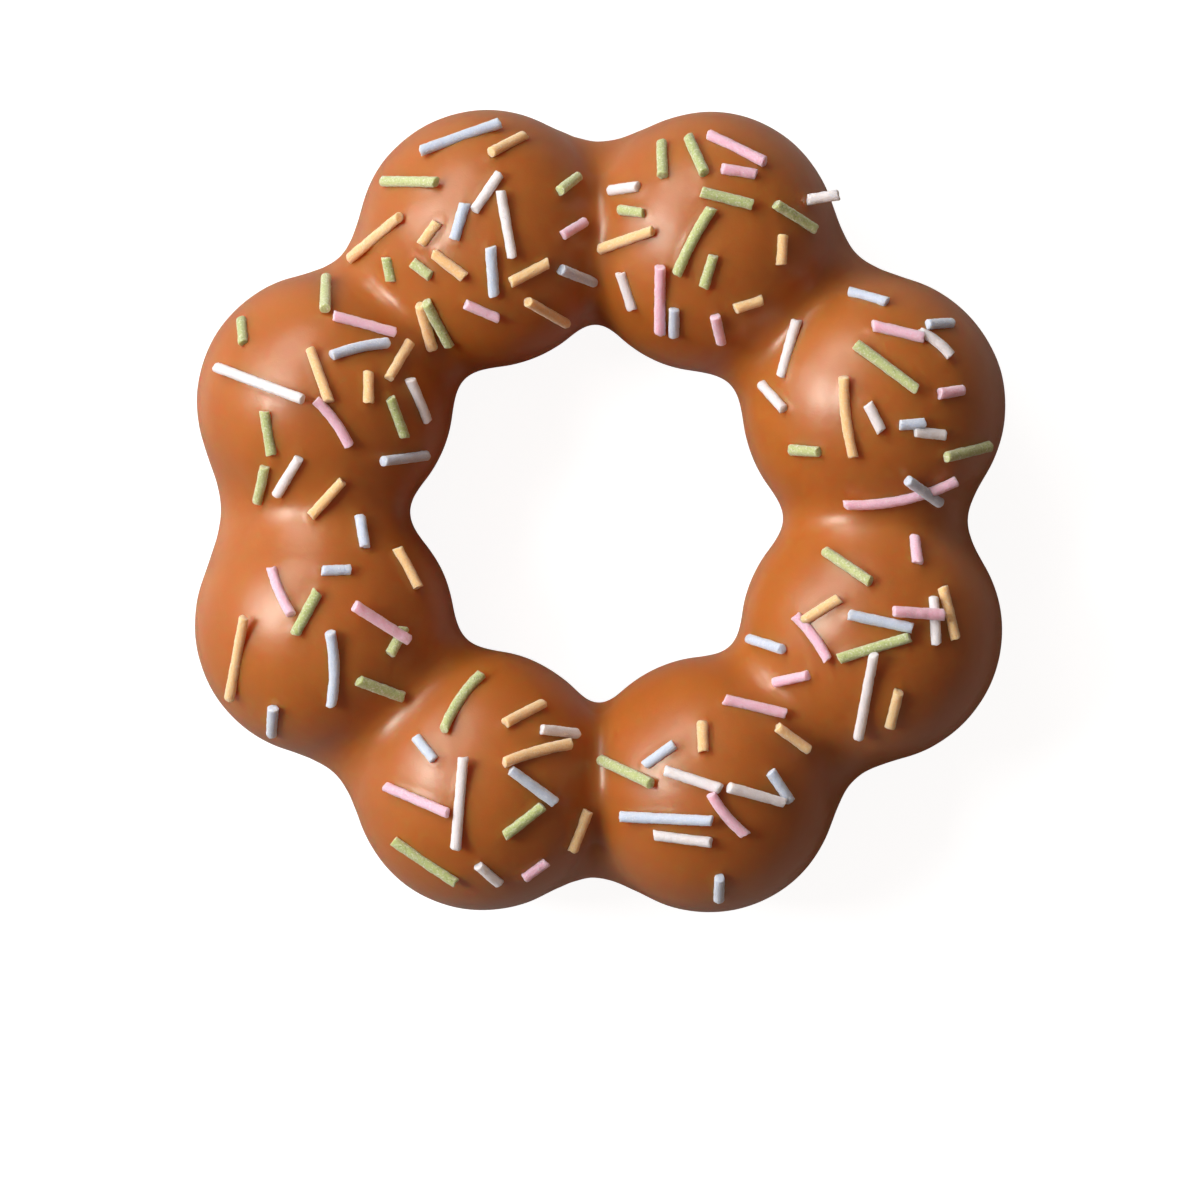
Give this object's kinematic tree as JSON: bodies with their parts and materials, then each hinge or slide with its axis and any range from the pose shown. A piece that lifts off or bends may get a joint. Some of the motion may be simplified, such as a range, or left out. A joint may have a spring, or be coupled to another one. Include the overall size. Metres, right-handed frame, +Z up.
{
  "type": "sprinkle frosted ring doughnut",
  "caption": "Ring doughnut of round dough balls run together, coated in caramel frosting and scattered with pastel sugar sprinkles.",
  "frame": {"origin": "middle of the hole, on the surface that the ring rests on", "axes": "+Z up through the hole; +X to the right and +Y to the top of the ring as it is seen from above"},
  "size_m": [0.0899, 0.0889, 0.0285],
  "materials": {
    "dough": "golden fried dough, dry and finely pitted, a little darker round the foot",
    "frosting": "satin caramel frosting with soft broad highlights",
    "sprinkle_white": "white sugar rods, matt and finely grained",
    "sprinkle_pink": "pale pink sugar rods, matt and finely grained",
    "sprinkle_blue": "pale blue sugar rods, matt and finely grained",
    "sprinkle_green": "soft green sugar rods, the roughest of the five, with small pits",
    "sprinkle_orange": "pale orange sugar rods, matt and finely grained"
  },
  "bodies": {
    "root": {"dough_ring": "dough", "frosting": "frosting"}
  },
  "joints": []
}
